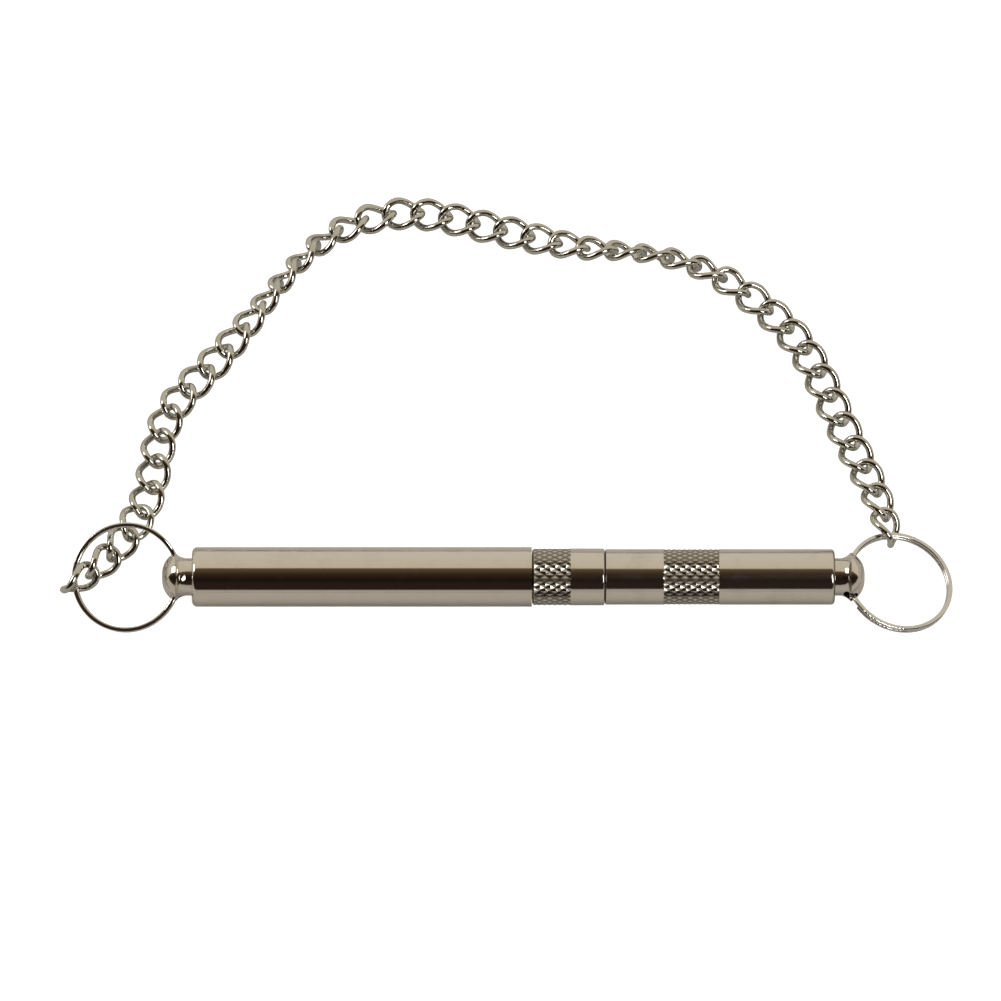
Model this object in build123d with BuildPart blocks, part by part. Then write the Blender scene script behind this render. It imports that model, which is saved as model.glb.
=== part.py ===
from build123d import *
import os
from math import asin, cos, hypot, pi, radians, sin, tan

# Training whistle with two split rings and a twisted curb chain, in mm.
# +X runs along the whistle from the cap to the tuner, +Z is up, and Z = 0 is the surface it lies on.

# ---- driving dimensions -------------------------------------------------------------------
# outside of the whistle
cap_diameter = 8.6
cap_length = 48.9
cap_corner = 0.7
cap_mouth_x = 2.4             # open end of the cap, from the middle of the whistle
nut_diameter = 8.2
nut_length = 10.2
nut_gap = 0.25                # room for the nut to back off from the tuner
barrel_diameter = 8.0
barrel_length = 33.1
barrel_corner = 0.5
joint_chamfer = 0.2           # on the nut's and the barrel's facing edges
face_gap = 0.05               # between faces that rest on each other and turn

# whistle tube and what it holds
tube_diameter = 6.4
bore_diameter = 5.0
tube_tip_x = -42.0
tube_rear_x = 27.0
cap_thread_diameter = 7.0
cap_thread_length = 5.0
shoulder_diameter = 7.4
shoulder_length = 3.4
window_x = -16.0              # middle of the sounding window
window_length = 3.0
window_width = 3.4
windway_height = 0.8
running_clearance = 0.05      # radial, at every thread and sliding fit

# plunger
piston_length = 3.0
piston_x = -6.0               # face of the piston towards the window
seal_groove_depth = 0.5
seal_width = 0.9
rod_diameter = 2.0
rod_collar_length = 2.0
rod_tail_room = 1.0           # between the rod's collar and the finial's riveted end

# ends of the cap and the barrel, with their swivelling finials
end_wall = 1.5
stem_diameter = 2.2
clip_diameter = 4.2
clip_thickness = 0.5
stem_tail = 0.3               # riveted end past the clip
finial_length = 4.3
finial_diameter = 7.1
neck_diameter = 5.4
neck_length = 0.9
flare_length = 1.4
flare_bulge = (0.62, 0.42)    # a point on the flare, as shares of its length and height
dome_bulge = (0.74, 0.66)     # a point on the domed end, as shares of its length and radius
ring_hole_diameter = 2.1
ring_hole_offset = 2.3        # from the end of the cap or barrel

# split rings
ring_diameter = 15.9
ring_wire_width = 0.7         # across the ring
ring_wire_height = 0.55       # one coil, along the ring's axis
ring_wire_corner = 0.2
coil_gap = 0.04
jog_angle = 24.0              # where one coil steps over to the other
jog_gap_angle = 2.0
jog_steps = 4
left_ring_start = 230.0       # where the wire steps over, from the side away from the whistle
right_ring_start = 215.0
ring_hole_sag = 0.325         # how far the curving wire is shifted so that it runs through its hole
ring_lift = 0.05              # between a ring's lowest coil and the surface
left_ring_roll = 20.0         # its back is propped up by the chain
right_ring_roll = -4.0        # its back is weighed down by the chain

# chain
link_wire = 1.0
link_opening = 3.3            # clear width inside a link
link_hook_gap = 0.35          # slack between two hooked links
link_twist = 50.0             # of each end, from the middle of the link
link_corners = 12
corner_share = 0.48           # of the shorter side beside a corner that its fillet takes
link_pitch = 4.15             # the count of links is rounded to come near it
surface_gap = 0.12            # under the chain

# The chain's route over the surface, in two halves: x, y and how far the chain is rolled over, in
# degrees. The first half is measured from the left ring's far side, and the second from the point of
# the right ring's wire that lies straight behind its middle.
chain_left_route = [
    (0.8, 0.2, 78), (4.8, 3.9, 55), (8.0, 8.6, 28), (10.3, 14.0, 0), (11.3, 19.2, 0),
    (13.3, 27.5, 0), (18.9, 34.8, 0), (24.0, 41.1, -28), (28.7, 47.4, -55), (33.5, 53.2, -55),
    (39.7, 57.9, -26), (47.7, 60.1, 0), (56.3, 58.7, 0),
]
chain_right_route = [
    (-54.4, 48.9, 0), (-46.0, 46.7, -28), (-36.7, 45.4, -58), (-27.0, 42.6, -40), (-19.8, 37.8, -8),
    (-14.0, 31.5, 0), (-10.0, 23.6, 0), (-6.8, 15.6, 0), (-3.6, 8.0, -20), (-1.6, 1.2, -45),
]

# ---- sizes that follow ----------------------------------------------------------------------
axis_z = cap_diameter / 2
cap_end_x = cap_mouth_x - cap_length
nut_start_x = cap_mouth_x + nut_gap
nut_end_x = nut_start_x + nut_length
barrel_start_x = nut_end_x + face_gap
barrel_end_x = barrel_start_x + barrel_length
shoulder_x = cap_mouth_x - shoulder_length
fit_diameter = tube_diameter + 2 * running_clearance
cap_bore = cap_thread_diameter + 2 * running_clearance
cap_mouth_bore = shoulder_diameter + 2 * running_clearance
cap_floor_x = cap_end_x + end_wall
barrel_floor_x = barrel_end_x - end_wall
collar_end_x = barrel_floor_x - 2 * face_gap - clip_thickness - stem_tail - rod_tail_room
whistle_plane = Plane(origin=(0, 0, axis_z), x_dir=(1, 0, 0), z_dir=(0, -1, 0))
whistle_axis = Axis((0, 0, axis_z), (1, 0, 0))

os.makedirs("parts", exist_ok=True)


def save(part, name):
    """Labels a finished piece and writes it as its own node."""
    part.label = name
    export_step(part, f"parts/{name}.step")


def round_bar(x0, x1, diameter, mode=Mode.ADD):
    """A round bar, or a round hole, along the whistle's axis."""
    with BuildSketch(Plane(origin=(x0, 0, axis_z), z_dir=(1, 0, 0))) as section:
        Circle(diameter / 2)
    extrude(section.sketch, amount=x1 - x0, mode=mode)


# ---- the whistle tube -------------------------------------------------------------------------
with BuildPart() as whistle_tube:
    round_bar(tube_tip_x, tube_rear_x, tube_diameter)
    round_bar(shoulder_x - cap_thread_length, shoulder_x, cap_thread_diameter)
    round_bar(shoulder_x, cap_mouth_x, shoulder_diameter)
    round_bar(tube_tip_x, tube_rear_x, bore_diameter, Mode.SUBTRACT)
    with BuildSketch(Plane.XY.offset(axis_z)):
        with Locations((window_x, 0)):
            Rectangle(window_length, window_width)
    extrude(amount=tube_diameter, mode=Mode.SUBTRACT)
save(whistle_tube.part, "whistle_tube")

with BuildPart() as windway_plug:
    round_bar(tube_tip_x, window_x - window_length / 2, bore_diameter)
    with BuildSketch(Plane.XY.offset(axis_z + bore_diameter / 2 - windway_height)):
        with Locations(((tube_tip_x + window_x) / 2, 0)):
            Rectangle(cap_length, bore_diameter)
    extrude(amount=bore_diameter, mode=Mode.SUBTRACT)
save(windway_plug.part, "windway_plug")

# ---- the cap ----------------------------------------------------------------------------------
with BuildPart() as cap_tube:
    round_bar(cap_end_x, cap_mouth_x, cap_diameter)
    fillet(cap_tube.edges().filter_by(GeomType.CIRCLE).sort_by(Axis.X)[0], cap_corner)
    round_bar(cap_floor_x, cap_mouth_x, cap_bore, Mode.SUBTRACT)
    round_bar(shoulder_x - face_gap, cap_mouth_x, cap_mouth_bore, Mode.SUBTRACT)
    round_bar(cap_end_x, cap_floor_x, stem_diameter + 2 * running_clearance, Mode.SUBTRACT)
save(cap_tube.part, "cap_tube")

# ---- the lock nut and the tuner barrel ------------------------------------------------------------
with BuildPart() as lock_nut:
    round_bar(nut_start_x, nut_end_x, nut_diameter)
    chamfer(lock_nut.edges().filter_by(GeomType.CIRCLE).sort_by(Axis.X)[-1], joint_chamfer)
    round_bar(nut_start_x, nut_end_x, fit_diameter, Mode.SUBTRACT)
save(lock_nut.part, "lock_nut")

with BuildPart() as tuner_barrel:
    round_bar(barrel_start_x, barrel_end_x, barrel_diameter)
    chamfer(tuner_barrel.edges().filter_by(GeomType.CIRCLE).sort_by(Axis.X)[0], joint_chamfer)
    fillet(tuner_barrel.edges().filter_by(GeomType.CIRCLE).sort_by(Axis.X)[-1], barrel_corner)
    round_bar(barrel_start_x, barrel_floor_x, fit_diameter, Mode.SUBTRACT)
    round_bar(barrel_floor_x, barrel_end_x, stem_diameter + 2 * running_clearance, Mode.SUBTRACT)
save(tuner_barrel.part, "tuner_barrel")

# ---- the plunger that the barrel carries ----------------------------------------------------------
piston_end_x = piston_x + piston_length
piston_diameter = bore_diameter - 2 * running_clearance
seal_inner_diameter = piston_diameter - 2 * seal_groove_depth
seal_x = piston_x + (piston_length - seal_width) / 2

with BuildPart() as piston:
    round_bar(piston_x, piston_end_x, piston_diameter)
    with BuildSketch(Plane(origin=(seal_x, 0, axis_z), z_dir=(1, 0, 0))) as groove:
        Circle(piston_diameter)
        Circle(seal_inner_diameter / 2, mode=Mode.SUBTRACT)
    extrude(amount=seal_width, mode=Mode.SUBTRACT)
save(piston.part, "piston")

with BuildPart() as piston_seal:
    with BuildSketch(Plane(origin=(seal_x, 0, axis_z), z_dir=(1, 0, 0))):
        Circle(bore_diameter / 2 - running_clearance / 2)
        Circle(seal_inner_diameter / 2, mode=Mode.SUBTRACT)
    extrude(amount=seal_width)
save(piston_seal.part, "piston_seal")

with BuildPart() as plunger_rod:
    round_bar(piston_end_x, collar_end_x - rod_collar_length, rod_diameter)
save(plunger_rod.part, "plunger_rod")

with BuildPart() as rod_collar:
    round_bar(collar_end_x - rod_collar_length, collar_end_x, fit_diameter)
save(rod_collar.part, "rod_collar")

# ---- the finials that swivel in the ends ------------------------------------------------------------
def finial(base_x, outward, hole_roll):
    """A mushroom knob on a stem through the end wall, drilled across for a split ring."""
    base = base_x + outward * face_gap
    flare_x = base + outward * neck_length
    brim_x = flare_x + outward * flare_length
    apex_x = base_x + outward * finial_length
    inside_x = base_x - outward * (end_wall + face_gap + clip_thickness + stem_tail)
    brim = finial_diameter / 2
    neck = neck_diameter / 2
    stem = stem_diameter / 2
    with BuildSketch(whistle_plane) as profile:
        with BuildLine():
            Polyline((apex_x, 0), (inside_x, 0), (inside_x, stem), (base, stem), (base, neck), (flare_x, neck))
            flare_mid = (flare_x + outward * flare_bulge[0] * flare_length, neck + flare_bulge[1] * (brim - neck))
            ThreePointArc((flare_x, neck), flare_mid, (brim_x, brim))
            dome_mid = (brim_x + outward * dome_bulge[0] * abs(apex_x - brim_x), dome_bulge[1] * brim)
            ThreePointArc((brim_x, brim), dome_mid, (apex_x, 0))
        make_face()
    revolve(profile.sketch, axis=whistle_axis)
    across = (0, cos(radians(hole_roll)), sin(radians(hole_roll)))
    hole_x = base_x + outward * ring_hole_offset
    with BuildSketch(Plane(origin=(hole_x, 0, axis_z), x_dir=(1, 0, 0), z_dir=across)) as ring_hole:
        Circle(ring_hole_diameter / 2)
    extrude(ring_hole.sketch, amount=finial_diameter, both=True, mode=Mode.SUBTRACT)


def stem_clip(floor_x, inward):
    """The washer riveted on the stem inside the end wall."""
    near_x = floor_x + inward * face_gap
    far_x = near_x + inward * clip_thickness
    round_bar(min(near_x, far_x), max(near_x, far_x), clip_diameter)
    round_bar(min(near_x, far_x), max(near_x, far_x), stem_diameter, Mode.SUBTRACT)


with BuildPart() as cap_finial:
    finial(cap_end_x, -1, left_ring_roll)
save(cap_finial.part, "cap_finial")

with BuildPart() as cap_finial_clip:
    stem_clip(cap_floor_x, 1)
save(cap_finial_clip.part, "cap_finial_clip")

with BuildPart() as tuner_finial:
    finial(barrel_end_x, 1, right_ring_roll)
save(tuner_finial.part, "tuner_finial")

with BuildPart() as tuner_finial_clip:
    stem_clip(barrel_floor_x, -1)
save(tuner_finial_clip.part, "tuner_finial_clip")

# ---- the split rings ----------------------------------------------------------------------------------
ring_mid_radius = (ring_diameter - ring_wire_width) / 2
ring_seat_radius = ring_mid_radius - ring_hole_sag
ring_half_height = ring_wire_height + coil_gap / 2
low_reach = (axis_z - ring_half_height - ring_lift) / ring_mid_radius


def ring_plane(base_x, outward, roll):
    """The plane of a ring that hangs from its finial and rests on the surface."""
    roll_sine = sin(radians(roll))
    dip = (low_reach ** 2 - roll_sine ** 2) / (2 * low_reach)
    tilt = asin(dip / cos(radians(roll)))
    away = Vector(outward * cos(tilt), sin(tilt) * sin(radians(roll)), -sin(tilt) * cos(radians(roll)))
    along = Vector(0, cos(radians(roll)), sin(radians(roll)))
    hole_x = base_x + outward * ring_hole_offset
    centre = Vector(hole_x, 0, axis_z) + away * ring_seat_radius
    return Plane(origin=centre, x_dir=away, z_dir=away.cross(along) * outward)


def section_plane(plane, angle, height):
    """The plane that cuts the ring wire at an angle round the ring."""
    turn = radians(angle)
    here = plane.from_local_coords(Vector(ring_mid_radius * cos(turn), ring_mid_radius * sin(turn), height))
    outwards = plane.from_local_coords(Vector(cos(turn), sin(turn), 0)) - plane.origin
    ahead = plane.from_local_coords(Vector(-sin(turn), cos(turn), 0)) - plane.origin
    return Plane(origin=here, x_dir=outwards, z_dir=ahead)


def ring_section(plane, angle, height):
    """Draws the ring wire's section at an angle round the ring, and returns it."""
    with BuildSketch(section_plane(plane, angle, height)) as section:
        RectangleRounded(ring_wire_width, ring_wire_height, ring_wire_corner)
    return section.sketch


def split_ring(plane, start):
    """Two flat coils of one wire, with the step that joins them."""
    axis = Axis(plane.origin, plane.z_dir)
    level = (ring_wire_height + coil_gap) / 2
    coil_angle = 360 - jog_angle - jog_gap_angle
    revolve(ring_section(plane, start + jog_gap_angle, -level), axis=axis, revolution_arc=coil_angle)
    revolve(ring_section(plane, start, level), axis=axis, revolution_arc=coil_angle)
    step_sections = []
    for step in range(jog_steps + 1):
        share = step / jog_steps
        angle = start - jog_angle * (1 - share)
        step_sections.append(ring_section(plane, angle, -level * cos(pi * share)))
    loft(sections=step_sections)


left_ring_plane = ring_plane(cap_end_x, -1, left_ring_roll)
right_ring_plane = ring_plane(barrel_end_x, 1, right_ring_roll)

with BuildPart() as ring_left:
    split_ring(left_ring_plane, left_ring_start)
save(ring_left.part, "ring_left")

with BuildPart() as ring_right:
    split_ring(right_ring_plane, right_ring_start)
save(ring_right.part, "ring_right")

# ---- the chain ------------------------------------------------------------------------------------------
link_half_length = (link_pitch + link_wire + link_hook_gap) / 2
link_half_width = (link_opening + link_wire) / 2


def link_point(angle, reach=1.0):
    """A point of a link's twisted oval centreline; its ends are turned opposite ways."""
    twist = radians(-link_twist * cos(angle))
    side = reach * link_half_width * sin(angle)
    return Vector(reach * link_half_length * cos(angle), side * cos(twist), side * sin(twist))


def corner_radii(corners):
    """The largest fillets that fit a closed outline's corners."""
    radii = []
    for i, corner in enumerate(corners):
        before = corner - corners[i - 1]
        after = corners[(i + 1) % len(corners)] - corner
        half_turn = radians(before.get_angle(after)) / 2
        radii.append(corner_share * min(before.length, after.length) / tan(half_turn))
    return radii


with BuildPart() as link_shape:
    corner_reach = 1 / cos(pi / link_corners)
    corner_angles = [2 * pi * (i + 0.5) / link_corners for i in range(link_corners)]
    corners = [link_point(angle, corner_reach) for angle in corner_angles]
    with BuildLine() as centreline:
        FilletPolyline(*corners, radius=corner_radii(corners), close=True)
    for stretch in centreline.line.edges():
        with BuildSketch(Plane(origin=stretch @ 0, z_dir=stretch % 0)) as wire:
            Circle(link_wire / 2)
        sweep(wire.sketch, path=stretch)


def rest_height(roll):
    """The height of a link's middle above the surface, when it is rolled over."""
    turn = radians(roll)
    outline = [link_point(radians(angle)) for angle in range(0, 360, 5)]
    half_height = max(point.Y * sin(turn) + point.Z * cos(turn) for point in outline)
    return half_height + link_wire / 2 + surface_gap


left_start_x = left_ring_plane.origin.X - ring_mid_radius
chain_route = [(left_start_x + x, y, roll) for x, y, roll in chain_left_route]
chain_route += [(right_ring_plane.origin.X + x, ring_mid_radius + y, roll) for x, y, roll in chain_right_route]
with BuildLine():
    route = Spline(*[(x, y, rest_height(roll)) for x, y, roll in chain_route])
link_count = round(route.length / link_pitch) + 1


def roll_at(point):
    """How far the chain is rolled over beside a point of the route, in degrees."""
    nearest = sorted(chain_route, key=lambda stop: hypot(stop[0] - point.X, stop[1] - point.Y))[:2]
    gaps = [hypot(x - point.X, y - point.Y) for x, y, roll in nearest]
    return (nearest[0][2] * gaps[1] + nearest[1][2] * gaps[0]) / sum(gaps)


for number in range(link_count):
    share = number / (link_count - 1)
    place = route @ share
    heading = route % share
    flat = Plane(origin=place, x_dir=heading, z_dir=Vector(0, 0, 1) - heading * heading.Z)
    with BuildPart() as chain_link:
        add(link_shape.part.moved(flat.location * Location((0, 0, 0), (roll_at(place), 0, 0))))
    save(chain_link.part, f"chain_link_{number + 1:02d}")
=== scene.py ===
"""Looks of a dog training whistle with its split rings and curb chain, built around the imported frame."""

from dataclasses import dataclass
from enum import Enum
import logging
import math
from typing import Any, Sequence

import bpy
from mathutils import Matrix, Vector


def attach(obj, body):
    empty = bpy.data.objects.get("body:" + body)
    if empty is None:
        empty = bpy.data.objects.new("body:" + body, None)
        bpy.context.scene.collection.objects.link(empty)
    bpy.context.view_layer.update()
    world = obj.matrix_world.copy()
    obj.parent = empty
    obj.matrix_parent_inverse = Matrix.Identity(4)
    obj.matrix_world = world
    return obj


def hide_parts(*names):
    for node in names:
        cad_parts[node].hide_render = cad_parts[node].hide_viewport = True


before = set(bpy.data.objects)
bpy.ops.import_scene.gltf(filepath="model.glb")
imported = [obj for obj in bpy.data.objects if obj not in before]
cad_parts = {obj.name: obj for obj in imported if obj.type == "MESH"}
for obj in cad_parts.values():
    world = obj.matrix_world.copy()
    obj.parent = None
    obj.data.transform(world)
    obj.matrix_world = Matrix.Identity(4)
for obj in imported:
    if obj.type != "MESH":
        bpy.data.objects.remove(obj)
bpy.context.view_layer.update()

log = logging.getLogger("training_whistle")

Colour = tuple[float, float, float]

MM = 0.001
FULL_TURN = 2.0 * math.pi
AXIS_HEIGHT = 4.3 * MM  # the whistle's axis above the surface that it lies on
NOISE_MIDDLE = 0.5
WHITE: Colour = (1.0, 1.0, 1.0)


# ---- shader maths ---------------------------------------------------------------------------------------
class Signal:
    """A number, colour or vector travelling through a node tree, for use in Python expressions."""

    def __init__(self, bench: "NodeBench", socket: bpy.types.NodeSocket | None) -> None:
        """Wraps one output socket.

        Args:
            bench: the node tree's builder.
            socket: the output that the signal comes from, or None for a node that has no output.
        """
        self.bench = bench
        self.socket = socket

    def _math(self, operation: str, first: "Signal | float", second: "Signal | float" = 0.0) -> "Signal":
        """Adds one Math node.

        Args:
            operation: the Math node's operation.
            first: its first value or signal.
            second: its second value or signal.

        Returns:
            The node's result.
        """
        return self.bench.node("ShaderNodeMath", {"operation": operation}, {0: first, 1: second})

    def __add__(self, other: "Signal | float") -> "Signal":
        """Adds a value or signal."""
        return self._math("ADD", self, other)

    __radd__ = __add__

    def __sub__(self, other: "Signal | float") -> "Signal":
        """Takes a value or signal away."""
        return self._math("SUBTRACT", self, other)

    def __rsub__(self, other: "Signal | float") -> "Signal":
        """Takes this signal away from a value."""
        return self._math("SUBTRACT", other, self)

    def __mul__(self, other: "Signal | float") -> "Signal":
        """Multiplies by a value or signal."""
        return self._math("MULTIPLY", self, other)

    __rmul__ = __mul__

    def __truediv__(self, other: "Signal | float") -> "Signal":
        """Divides by a value or signal."""
        return self._math("DIVIDE", self, other)

    def __pow__(self, other: "Signal | float") -> "Signal":
        """Raises to a power."""
        return self._math("POWER", self, other)

    def above(self, other: "Signal | float") -> "Signal":
        """Gives 1 where this is greater, and 0 elsewhere."""
        return self._math("GREATER_THAN", self, other)

    def at_most(self, other: "Signal | float") -> "Signal":
        """Gives the smaller of two numbers."""
        return self._math("MINIMUM", self, other)

    def at_least(self, other: "Signal | float") -> "Signal":
        """Gives the larger of two numbers."""
        return self._math("MAXIMUM", self, other)

    def share(self) -> "Signal":
        """Holds the number between 0 and 1."""
        return self.at_least(0.0).at_most(1.0)

    def wave(self) -> "Signal":
        """Gives a smooth wave from 0 to 1, for an angle in radians."""
        return 0.5 + 0.5 * self._math("SINE", self)

    def angle_over(self, run: "Signal | float") -> "Signal":
        """Gives the angle in radians of a slope that rises by this over a run."""
        return self._math("ARCTAN2", self, run)


@dataclass(frozen=True)
class Grain:
    """The size and roughness of a noise."""

    blobs_per_metre: float
    detail: float = 2.0
    roughness: float = 0.5


class NodeBench:
    """Builds one node tree, node by node."""

    # The Mix node keeps a set of sockets for each data type, and these are the ones for colours.
    MIX_SHARE, MIX_FIRST, MIX_SECOND, MIX_RESULT = 0, 6, 7, 2

    def __init__(self, owner: bpy.types.Material | bpy.types.World) -> None:
        """Empties an owner's node tree and takes it over.

        Args:
            owner: the material or world whose tree is to be filled.
        """
        owner.use_nodes = True
        self.tree = owner.node_tree
        self.tree.nodes.clear()

    def node(self, kind: str, settings: dict[str, Any] | None = None,
             inputs: dict[int | str, Any] | None = None, output: int | str = 0) -> Signal:
        """Adds a node, sets it up and joins what it takes.

        Args:
            kind: the node's type.
            settings: its own properties, and "stops" for a ramp's (place, colour) pairs.
            inputs: a value or a signal for each named or numbered socket.
            output: the name or number of the socket that is wanted.

        Returns:
            The wanted output.
        """
        made = self.tree.nodes.new(kind)
        for name, value in (settings or {}).items():
            if name == "stops":
                self._set_stops(made.color_ramp, value)
            else:
                setattr(made, name, value)
        for name, value in (inputs or {}).items():
            socket = made.inputs[name]
            if isinstance(value, Signal):
                self.tree.links.new(value.socket, socket)
            else:
                socket.default_value = value
        return Signal(self, made.outputs[output] if len(made.outputs) else None)

    @staticmethod
    def _set_stops(ramp: bpy.types.ColorRamp, stops: Sequence[tuple[float, Colour]]) -> None:
        """Fills a colour ramp.

        Args:
            ramp: the ramp to fill.
            stops: the place and the colour of each stop, in order.
        """
        while len(ramp.elements) > 1:
            ramp.elements.remove(ramp.elements[-1])
        for number, (place, colour) in enumerate(stops):
            stop = ramp.elements[0] if number == 0 else ramp.elements.new(place)
            stop.position = place
            stop.color = (*colour, 1.0)

    def place(self) -> Signal:
        """Gives the point's own place on the object, in metres."""
        return self.node("ShaderNodeTexCoord", output="Object")

    def axes(self, vector: Signal) -> tuple[Signal, Signal, Signal]:
        """Splits a vector into its three numbers."""
        return tuple(self.node("ShaderNodeSeparateXYZ", inputs={0: vector}, output=axis) for axis in "XYZ")

    def noise(self, vector: Signal, grain: Grain) -> Signal:
        """Adds a noise.

        Args:
            vector: where it is looked up.
            grain: its size and roughness.

        Returns:
            The noise, from 0 to 1.
        """
        sockets = {"Vector": vector, "Scale": grain.blobs_per_metre, "Detail": grain.detail,
                   "Roughness": grain.roughness}
        return self.node("ShaderNodeTexNoise", {"noise_dimensions": "3D"}, sockets, "Fac")

    def blend(self, share: Signal, low: Signal | Colour, high: Signal | Colour) -> Signal:
        """Mixes two colours.

        Args:
            share: how much of the second colour there is, from 0 to 1.
            low: the first colour.
            high: the second colour.

        Returns:
            The mixed colour.
        """
        first, second = (end if isinstance(end, Signal) else (*end, 1.0) for end in (low, high))
        sockets = {self.MIX_SHARE: share, self.MIX_FIRST: first, self.MIX_SECOND: second}
        settings = {"data_type": "RGBA", "clamp_factor": True}
        return self.node("ShaderNodeMix", settings, sockets, self.MIX_RESULT)

    def coat(self, sockets: dict[int | str, Any]) -> None:
        """Adds the material's shader and joins it to the surface output.

        Args:
            sockets: a value or a signal for each of the shader's sockets.
        """
        shader = self.node("ShaderNodeBsdfPrincipled", inputs=sockets)
        self.node("ShaderNodeOutputMaterial", inputs={"Surface": shader})


# ---- finishes -------------------------------------------------------------------------------------------
class Wear(Enum):
    """How a metal piece has been worked and used."""

    TURNED = "turned on a lathe and plated"
    DRAWN = "drawn wire, bent and plated"
    MACHINED = "left as machined"
    THREADED = "cut with screw threads"


@dataclass(frozen=True)
class ScrewThreads:
    """Where the whistle tube is threaded along its length."""

    pitch: float = 0.5 * MM
    cap_start: float = -6.0 * MM
    cap_end: float = -1.0 * MM
    tuner_start: float = 2.65 * MM


@dataclass(frozen=True)
class MetalFinish:
    """A plated or bare metal surface, with a cloudy film of handling over it and, on a knurl, painted shade
    down in its grooves.
    """

    name: str
    colour: Colour
    grime_and_shade: Colour
    roughness: float
    wear: Wear
    marks_per_mm: float = 9.0
    mark_depth: float = 0.0012 * MM
    groove_radius: float = 0.0
    crest_radius: float = 0.0
    clouds: Grain = Grain(260.0, detail=3.0)
    smudges: Grain = Grain(900.0, detail=4.0, roughness=0.6)
    grit: Grain = Grain(9000.0)
    cloud_gain: float = 1.6
    smudge_gain: float = 0.5
    film_dirt: float = 0.30
    film_roughness: float = 0.07
    grit_roughness: float = 0.03
    dirt_and_shade_roughness: float = 0.10
    # how strongly painted shade darkens the knurl grooves
    groove_shade: float = 0.75
    groove_falloff: float = 1.5
    threads: ScrewThreads = ScrewThreads()

    def material(self) -> bpy.types.Material:
        """Builds the finish as a node material.

        Returns:
            The material.
        """
        made = bpy.data.materials.new(self.name)
        bench = NodeBench(made)
        place = bench.place()
        x, y, z = bench.axes(place)
        clouds = bench.noise(place, self.clouds) - NOISE_MIDDLE
        smudges = bench.noise(place, self.smudges) - NOISE_MIDDLE
        grit = bench.noise(place, self.grit)
        film = (clouds * self.cloud_gain + smudges * self.smudge_gain).share()
        dirt_and_shade = film * self.film_dirt
        # On a knurl, painted shade darkens the colour with depth into the grooves, on top of the handling
        # film.
        if self.crest_radius > self.groove_radius:
            dirt_and_shade = (dirt_and_shade + self._groove_depth(y, z) ** self.groove_falloff * self.groove_shade).at_most(1.0)
        marks = self._marks(bench, (x, y, z), grit)
        bench.coat({
            "Base Color": bench.blend(dirt_and_shade, self.colour, self.grime_and_shade),
            "Metallic": 1.0,
            "Roughness": (film * self.film_roughness + grit * self.grit_roughness
                          + dirt_and_shade * self.dirt_and_shade_roughness + self.roughness),
            "Normal": bench.node("ShaderNodeBump", inputs={
                "Height": marks, "Distance": self.mark_depth, "Strength": 1.0}),
        })
        return made

    def _groove_depth(self, y: Signal, z: Signal) -> Signal:
        """Works out how deep a point is between a knurl's crests and its grooves.

        Args:
            y: the place across the whistle.
            z: the height.

        Returns:
            The depth, from 0 on the crests to 1 in the grooves.
        """
        radius = ((y * y) + (z - AXIS_HEIGHT) ** 2.0) ** 0.5
        return ((self.crest_radius - radius) / (self.crest_radius - self.groove_radius)).share()

    def _marks(self, bench: NodeBench, place: tuple[Signal, Signal, Signal], grit: Signal) -> Signal:
        """Works out the tool marks, threads or scratches of the surface.

        Args:
            bench: the material's tree.
            place: the place along the whistle, the place across it and the height.
            grit: a fine noise.

        Returns:
            The height of the marks, from 0 to 1.
        """
        x, y, z = place
        per_metre = self.marks_per_mm / MM
        if self.wear is Wear.TURNED:
            stretch, ring_share = 0.02, 0.75  # a lathe mark runs a long way round before it fades
            along = bench.node("ShaderNodeCombineXYZ", inputs={0: x, 1: y * stretch, 2: z * stretch})
            rings = bench.noise(along, Grain(per_metre, detail=3.0, roughness=0.7))
            return rings * ring_share + grit * (1.0 - ring_share)
        if self.wear is Wear.DRAWN:
            coarser = 0.35  # drawing leaves wider marks than turning
            return bench.noise(bench.place(), Grain(per_metre * coarser, detail=4.0, roughness=0.65))
        if self.wear is Wear.THREADED:
            threads = self.threads
            round_axis = (z - AXIS_HEIGHT).angle_over(y)
            ridges = (x * (FULL_TURN / threads.pitch) - round_axis).wave()
            under_cap = x.above(threads.cap_start) * (1.0 - x.above(threads.cap_end))
            return ridges * (x.above(threads.tuner_start) + under_cap)
        feed_share = 0.6
        return (x * (FULL_TURN * per_metre)).wave() * feed_share + grit * (1.0 - feed_share)


PLATE: Colour = (0.78, 0.74, 0.68)
# Near black: the knurls' handling film and the painted shade in their grooves both darken towards it.
KNURL_GRIME_AND_SHADE: Colour = (0.10, 0.08, 0.06)

NICKEL = MetalFinish("nickel_plate", PLATE, (0.34, 0.29, 0.23), 0.065, Wear.TURNED)
KNURLED_NICKEL = MetalFinish("knurled_nickel", PLATE, KNURL_GRIME_AND_SHADE, 0.10, Wear.TURNED,
                             groove_radius=3.86 * MM, crest_radius=3.99 * MM)
NUT_NICKEL = MetalFinish("nut_nickel", PLATE, KNURL_GRIME_AND_SHADE, 0.10, Wear.TURNED,
                         groove_radius=3.96 * MM, crest_radius=4.09 * MM)
# Painted shade: the tube is coloured far darker than the plate so that the gap between cap and nut, where
# its threads show, looks shaded.
THREADS_DARKENED_AS_SHADE = MetalFinish("threads_darkened_as_painted_shade", (0.42, 0.38, 0.32), (0.16, 0.13, 0.10), 0.22,
                              Wear.THREADED, mark_depth=0.12 * MM)
CHAIN_NICKEL = MetalFinish("chain_nickel", (0.66, 0.65, 0.60), (0.12, 0.10, 0.08), 0.080, Wear.DRAWN,
                           mark_depth=0.003 * MM)
RING_STEEL = MetalFinish("ring_steel", (0.78, 0.78, 0.76), (0.28, 0.26, 0.23), 0.09, Wear.DRAWN)
BRASS = MetalFinish("turned_brass", (0.82, 0.64, 0.33), (0.40, 0.27, 0.12), 0.16, Wear.MACHINED,
                    marks_per_mm=7.0, mark_depth=0.002 * MM)


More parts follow.
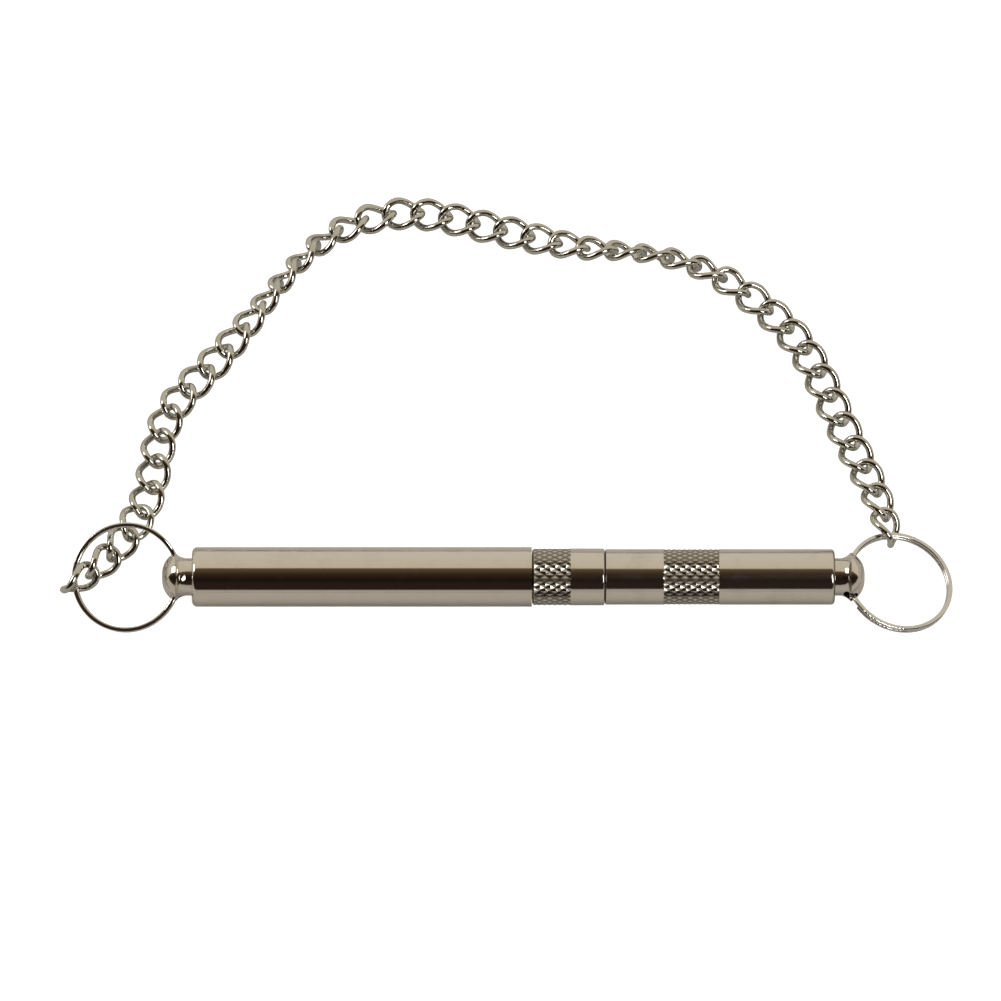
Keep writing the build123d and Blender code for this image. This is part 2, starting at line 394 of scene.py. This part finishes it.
@dataclass(frozen=True)
class RubberFinish:
    """The moulded seal."""

    name: str = "seal_rubber"
    colour: Colour = (0.035, 0.035, 0.037)
    dusty: Colour = (0.085, 0.083, 0.080)
    grain: Grain = Grain(6000.0, detail=3.0)
    dust: Grain = Grain(700.0)
    grain_depth: float = 0.004 * MM
    roughness: float = 0.5
    grain_roughness: float = 0.2

    def material(self) -> bpy.types.Material:
        """Builds the finish as a node material.

        Returns:
            The material.
        """
        made = bpy.data.materials.new(self.name)
        bench = NodeBench(made)
        place = bench.place()
        grain = bench.noise(place, self.grain)
        dust = bench.noise(place, self.dust)
        bench.coat({
            "Base Color": bench.blend(dust, self.colour, self.dusty),
            "Roughness": grain * self.grain_roughness + self.roughness,
            "Normal": bench.node("ShaderNodeBump", inputs={
                "Height": grain, "Distance": self.grain_depth}),
        })
        return made


# ---- the whistle's pieces ---------------------------------------------------------------------------------
def dress(material: bpy.types.Material, *nodes: str) -> None:
    """Gives frame nodes their finish.

    Args:
        material: the new material.
        nodes: the nodes' names.
    """
    for node in nodes:
        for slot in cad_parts[node].material_slots:
            slot.material = material
        log.info("dressed %s in %s", node, material.name)


@dataclass(frozen=True)
class Station:
    """One circle of vertices on a turned piece, with its row number where it is on the knurl."""

    x: float
    radius: float
    row: int | None = None


@dataclass
class KnurledSleeve:
    """A turned sleeve with a bore and a diamond-knurled band.

    Its far end is open, or has a wall with a stem hole in it.
    """

    node: str
    body: str
    start: float
    length: float
    diameter: float
    bore: float
    band: tuple[float, float]
    edge: float = 0.2 * MM
    end_round: float = 0.2 * MM
    wall: float = 0.0
    stem_hole: float = 0.0
    starts: int = 26
    pitch: float = 1.5 * MM
    depth: float = 0.17 * MM
    steps_per_start: int = 8
    shoulder: float = 0.05 * MM
    corner_steps: int = 6
    crease: float = math.radians(28.0)

    def build(self, material: bpy.types.Material) -> bpy.types.Object:
        """Makes the sleeve in place of its frame node.

        Args:
            material: its finish.

        Returns:
            The new piece.
        """
        mesh = self._mesh()
        mesh.materials.append(material)
        piece = bpy.data.objects.new(f"{self.node}_knurled", mesh)
        bpy.context.collection.objects.link(piece)
        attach(piece, self.body)
        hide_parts(self.node)
        log.info("built %s with %d faces", piece.name, len(mesh.polygons))
        return piece

    def _stations(self) -> list[Station]:
        """Lists the circles that the skin is joined from.

        Returns:
            The circles from the mouth, over the outside and back through the bore.
        """
        radius, bore, end = self.diameter / 2, self.bore / 2, self.start + self.length
        band_start, band_end = self.start + self.band[0], self.start + self.band[1]
        rows = round((band_end - band_start) / (self.pitch / self.steps_per_start))
        near, far = self.shoulder, self.shoulder * 3
        out = [Station(self.start, radius - self.edge), Station(self.start + self.edge, radius)]
        if band_start > self.start + self.edge * 2:
            out += [Station(band_start - gap, radius) for gap in (far, near)]
        out += [Station(band_start + (band_end - band_start) * row / rows, radius, row)
                for row in range(rows + 1)]
        out += [Station(band_end + gap, radius) for gap in (near, far)]
        out.append(Station(end - self.end_round - far, radius))
        for step in range(self.corner_steps + 1):
            turn = math.pi / 2 * step / self.corner_steps
            inset = self.end_round * (1.0 - math.cos(turn))
            out.append(Station(end - self.end_round * (1.0 - math.sin(turn)), radius - inset))
        if self.wall > 0.0:
            stem = self.stem_hole / 2
            out += [Station(end, stem), Station(end - self.wall, stem), Station(end - self.wall, bore)]
        else:
            out.append(Station(end, bore))
        return out + [Station(self.start, bore)]

    def _reach(self, station: Station, step: int) -> float:
        """Gives a vertex's distance from the axis.

        Args:
            station: the circle that it is on.
            step: its number round the circle.

        Returns:
            The distance, less where a knurl groove runs.
        """
        if station.row is None:
            return station.radius
        rows = (step + station.row, step - station.row)
        shares = [row % self.steps_per_start / self.steps_per_start for row in rows]
        rise = min(1.0 - abs(2.0 * share - 1.0) for share in shares)
        return station.radius - self.depth * (1.0 - rise)

    def _ring_faces(self, number: int, following: int, row: int | None) -> list[tuple[int, ...]]:
        """Lists the faces between two circles, with the knurl's creases along their edges.

        Args:
            number: the first circle's number.
            following: the second circle's number.
            row: the first circle's row on the knurl, or None off it.

        Returns:
            The faces, as vertex numbers.
        """
        count = self.starts * self.steps_per_start
        crease_every = self.steps_per_start // 2
        faces: list[tuple[int, ...]] = []
        for step in range(count):
            beside = (step + 1) % count
            a, b = number * count + step, number * count + beside
            c, d = following * count + beside, following * count + step
            if row is None:
                faces.append((a, b, c, d))
            elif (step - row) % crease_every == 0:
                faces += [(a, b, c), (a, c, d)]
            else:
                faces += [(a, b, d), (b, c, d)]
        return faces

    def _mesh(self) -> bpy.types.Mesh:
        """Joins the circles into one closed skin.

        Returns:
            The skin, with sharp edges marked.
        """
        stations = self._stations()
        count = self.starts * self.steps_per_start
        points, faces = [], []
        for number, station in enumerate(stations):
            for step in range(count):
                turn, reach = FULL_TURN * step / count, self._reach(station, step)
                points.append((station.x, reach * math.cos(turn), AXIS_HEIGHT + reach * math.sin(turn)))
            following = (number + 1) % len(stations)
            row = None if stations[following].row is None else station.row
            faces += self._ring_faces(number, following, row)
        mesh = bpy.data.meshes.new(self.node)
        mesh.from_pydata(points, [], faces)
        mesh.polygons.foreach_set("use_smooth", [True] * len(faces))
        mesh.set_sharp_from_angle(angle=self.crease)
        mesh.validate()
        return mesh


@dataclass
class WhistleBody:
    """The tube with its threads and the windway plug in it."""

    brass: bpy.types.Material
    threads: MetalFinish = THREADS_DARKENED_AS_SHADE

    def build(self) -> None:
        """Dresses the tube and the plug."""
        # The tube's dark finish is painted shade for the gap between the cap and the lock nut.
        dress(self.threads.material(), "whistle_tube")
        dress(self.brass, "windway_plug")


@dataclass
class CapEnd:
    """The screw cap, its swivelling finial and its split ring."""

    plate: bpy.types.Material
    steel: bpy.types.Material

    def build(self) -> None:
        """Dresses the cap's pieces."""
        dress(self.plate, "cap_tube", "cap_finial", "cap_finial_clip")
        dress(self.steel, "ring_left")


@dataclass
class LockNut:
    """The knurled nut that locks the tuner."""

    start: float = 2.45 * MM
    length: float = 10.4 * MM
    diameter: float = 8.2 * MM
    bore: float = 6.5 * MM
    band: tuple[float, float] = (0.3 * MM, 5.5 * MM)
    edge: float = 0.3 * MM
    finish: MetalFinish = NUT_NICKEL

    def build(self) -> None:
        """Makes the nut with its knurled band at the cap's side."""
        plate = self.finish.material()
        dress(plate, "lock_nut")
        sleeve = KnurledSleeve(node="lock_nut", body="lock_nut", start=self.start, length=self.length,
                               diameter=self.diameter, bore=self.bore, band=self.band, edge=self.edge)
        sleeve.build(plate)


@dataclass
class Tuner:
    """The knurled barrel with its plunger, its swivelling finial and its split ring."""

    plate: bpy.types.Material
    steel: bpy.types.Material
    brass: bpy.types.Material
    start: float = 12.9 * MM
    length: float = 33.1 * MM
    diameter: float = 8.0 * MM
    bore: float = 6.5 * MM
    band: tuple[float, float] = (8.5 * MM, 16.4 * MM)
    end_round: float = 0.5 * MM
    wall: float = 1.5 * MM
    stem_hole: float = 2.3 * MM
    finish: MetalFinish = KNURLED_NICKEL
    seal: RubberFinish = RubberFinish()

    def build(self) -> None:
        """Makes the barrel and dresses what it carries."""
        knurled = self.finish.material()
        dress(knurled, "tuner_barrel")
        sleeve = KnurledSleeve(node="tuner_barrel", body="tuner", start=self.start, length=self.length,
                               diameter=self.diameter, bore=self.bore, band=self.band,
                               end_round=self.end_round, wall=self.wall, stem_hole=self.stem_hole)
        sleeve.build(knurled)
        dress(self.brass, "piston", "plunger_rod", "rod_collar")
        dress(self.seal.material(), "piston_seal")
        dress(self.plate, "tuner_finial", "tuner_finial_clip")
        dress(self.steel, "ring_right")


@dataclass
class ChainLoop:
    """The curb chain between the two split rings."""

    finish: MetalFinish = CHAIN_NICKEL

    def build(self) -> None:
        """Dresses every link of the chain."""
        dress(self.finish.material(), *(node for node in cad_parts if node.startswith("chain_link")))


# ---- the stage --------------------------------------------------------------------------------------------
@dataclass(frozen=True)
class Softbox:
    """A soft lamp that points at the whistle, with its power in watts."""

    name: str
    place: tuple[float, float, float]
    width: float
    height: float
    power: float
    mirrored: bool = True
    tint: Colour = (1.0, 0.98, 0.95)

    def hang(self) -> None:
        """Adds the lamp, which polished metal mirrors only where that is wanted."""
        data = bpy.data.lights.new(self.name, "AREA")
        data.shape = "RECTANGLE"
        data.size, data.size_y = self.width, self.height
        data.energy = self.power
        data.color = self.tint
        lamp = bpy.data.objects.new(self.name, data)
        lamp.location = self.place
        lamp.visible_glossy = self.mirrored
        lamp.rotation_mode = "QUATERNION"
        lamp.rotation_quaternion = (-Vector(self.place)).to_track_quat("-Z", "Y")
        bpy.context.collection.objects.link(lamp)


# What lies round the whistle, by the angle over the long axis: 0 is level in front of it, 0.5 is straight
# up and 1 is level behind it.
ROOM_BANDS: Sequence[tuple[float, Colour]] = (
    (0.0, (0.42, 0.395, 0.36)),      # a pale surface, low in front
    (0.066, (0.42, 0.39, 0.35)),
    (0.082, (0.020, 0.014, 0.011)),  # the dark side of the room
    (0.20, (0.026, 0.014, 0.010)),
    (0.30, (0.010, 0.006, 0.005)),
    (0.42, (0.035, 0.020, 0.011)),
    (0.545, (0.12, 0.080, 0.042)),
    (0.560, (0.62, 0.55, 0.43)),     # the pale side, above and behind
    (0.80, (0.64, 0.59, 0.49)),
    (1.0, (0.64, 0.60, 0.52)),
)


@dataclass
class Studio:
    """The camera, the floor, the surroundings and the lamps."""

    view_elevation: float = math.radians(65.0)
    view_width: float = 144.2 * MM
    view_distance: float = 1.2
    nearest: float = 0.01
    farthest: float = 50.0
    aim_x: float = -2.1 * MM
    aim_up: float = 11.0 * MM
    sensor: float = 36.0
    floor_size: float = 8.0
    floor_paper: Colour = (0.50, 0.48, 0.45)
    floor_glow: float = 0.06
    floor_glow_in_view: float = 0.86
    lamps: tuple[Softbox, ...] = (
        Softbox("back_softbox", (-0.1, 1.1, 1.2), 1.3, 1.3, 8.0, mirrored=False),
        Softbox("side_softbox", (-1.3, 0.4, 0.9), 0.6, 0.6, 5.0),
        Softbox("front_softbox", (0.70, -0.72, 1.15), 0.36, 0.85, 7.5),
    )

    def build(self) -> None:
        """Sets the whole stage."""
        self._camera()
        self._floor()
        self._surroundings()
        for lamp in self.lamps:
            lamp.hang()
        bpy.context.scene.view_settings.view_transform = "Standard"

    def _camera(self) -> None:
        """Places a long lens that looks down on the whistle from its front side."""
        data = bpy.data.cameras.new("camera")
        data.sensor_width = self.sensor
        data.lens = self.sensor * self.view_distance / self.view_width
        data.clip_start = self.nearest
        data.clip_end = self.farthest
        camera = bpy.data.objects.new("camera", data)
        bpy.context.collection.objects.link(camera)
        rise, lean = math.sin(self.view_elevation), math.cos(self.view_elevation)
        up = Vector((0.0, rise, lean))
        back = Vector((0.0, -lean, rise))
        target = Vector((self.aim_x, 0.0, AXIS_HEIGHT)) + up * self.aim_up
        camera.location = target + back * self.view_distance
        camera.rotation_euler = (math.pi / 2 - self.view_elevation, 0.0, 0.0)
        bpy.context.scene.camera = camera

    def _floor(self) -> None:
        """Lays a plain pale surface under the whistle, which the view sees as white."""
        mesh = bpy.data.meshes.new("floor")
        half = self.floor_size / 2
        corners = [(-half, -half, 0.0), (half, -half, 0.0), (half, half, 0.0), (-half, half, 0.0)]
        mesh.from_pydata(corners, [], [(0, 1, 2, 3)])
        floor = bpy.data.objects.new("floor", mesh)
        bpy.context.collection.objects.link(floor)
        material = bpy.data.materials.new("pale_floor")
        bench = NodeBench(material)
        in_view = bench.node("ShaderNodeLightPath", output="Is Camera Ray")
        paper = bench.node("ShaderNodeBsdfDiffuse", inputs={"Color": (*self.floor_paper, 1.0)})
        light = in_view * self.floor_glow_in_view + self.floor_glow
        glow = bench.node("ShaderNodeEmission", inputs={"Color": (*WHITE, 1.0), "Strength": light})
        both = bench.node("ShaderNodeAddShader", inputs={0: paper, 1: glow})
        bench.node("ShaderNodeOutputMaterial", inputs={"Surface": both})
        mesh.materials.append(material)

    def _surroundings(self) -> None:
        """Fills the room: dark above and in front, pale behind, so that polished metal shows bands."""
        world = bpy.data.worlds.new("room")
        bpy.context.scene.world = world
        bench = NodeBench(world)
        _, y, z = bench.axes(bench.node("ShaderNodeTexCoord", output="Generated"))
        half_turns = z.angle_over(y * -1.0) / math.pi
        bands = bench.node("ShaderNodeValToRGB", {"stops": ROOM_BANDS}, {"Fac": half_turns})
        in_view = bench.node("ShaderNodeLightPath", output="Is Camera Ray")
        colour = bench.blend(in_view, bands, WHITE)
        shine = bench.node("ShaderNodeBackground", inputs={"Color": colour, "Strength": 1.0})
        bench.node("ShaderNodeOutputWorld", inputs={"Surface": shine})


def main() -> None:
    """Builds the stage and every sub-assembly in order."""
    logging.basicConfig(level=logging.INFO)
    Studio().build()
    nickel, steel, brass = NICKEL.material(), RING_STEEL.material(), BRASS.material()
    assemblies = (WhistleBody(brass), CapEnd(nickel, steel), LockNut(), Tuner(nickel, steel, brass),
                  ChainLoop())
    for assembly in assemblies:
        assembly.build()


if __name__ == "__main__":
    main()
